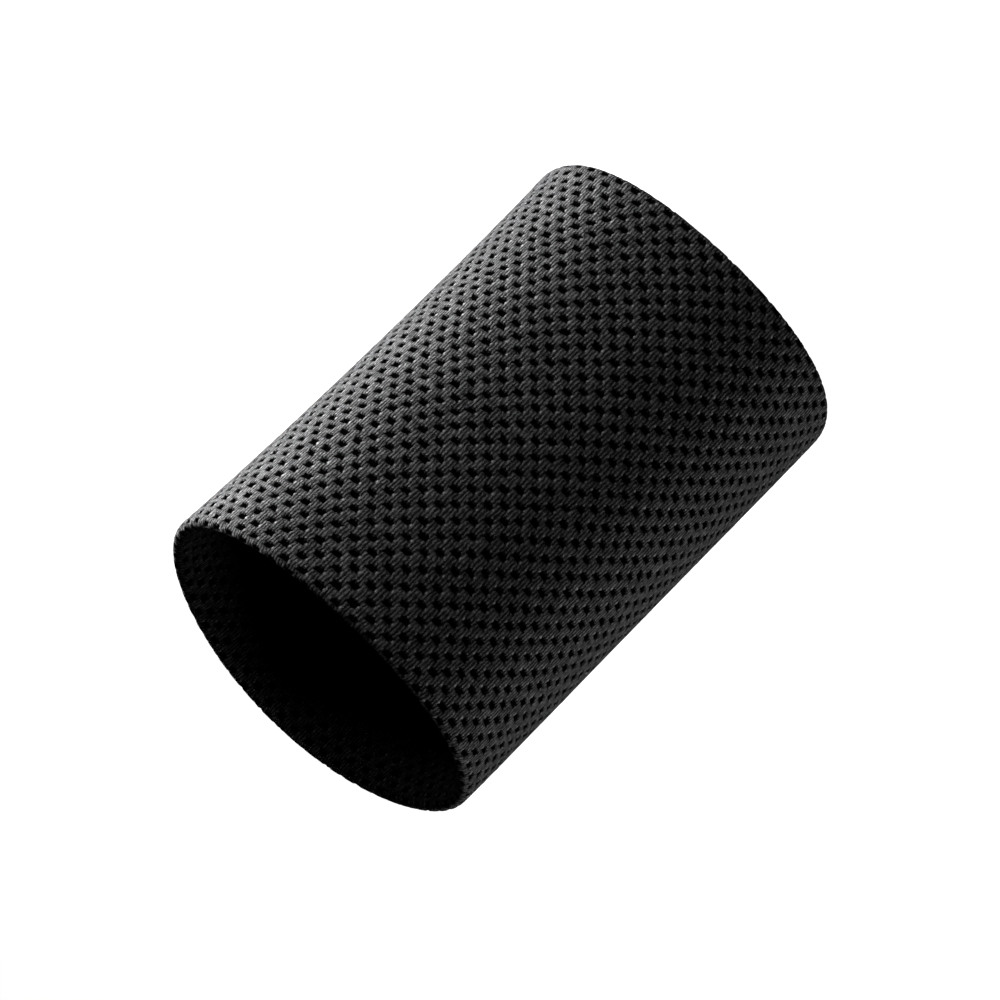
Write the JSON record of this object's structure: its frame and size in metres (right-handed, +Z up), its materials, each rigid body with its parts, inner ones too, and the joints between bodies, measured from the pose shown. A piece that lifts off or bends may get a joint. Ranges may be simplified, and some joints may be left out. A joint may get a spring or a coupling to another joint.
{
  "type": "sweat wristband",
  "caption": "Open-ended wristband tube of eyelet mesh with turned-in hems, a towelling lining and zigzag seams.",
  "frame": {"origin": "centre of the bottom rim, in the plane that the wristband stands on", "axes": "+Z up along the tube, from the bottom rim to the top rim; the lining's seam is on the -Y side"},
  "size_m": [0.0538, 0.0538, 0.076],
  "materials": {
    "mesh_cloth": "knitted eyelet mesh, soft sheen",
    "lining_cloth": "matte looped towelling",
    "thread": "spun sewing thread"
  },
  "bodies": {
    "root": {"outer_sleeve": "mesh_cloth", "lining_sleeve": "lining_cloth", "top_hem_face_thread": "thread", "top_hem_back_thread": "thread", "bottom_hem_face_thread": "thread", "bottom_hem_back_thread": "thread", "lining_seam_face_thread": "thread", "lining_seam_back_thread": "thread"}
  },
  "joints": []
}
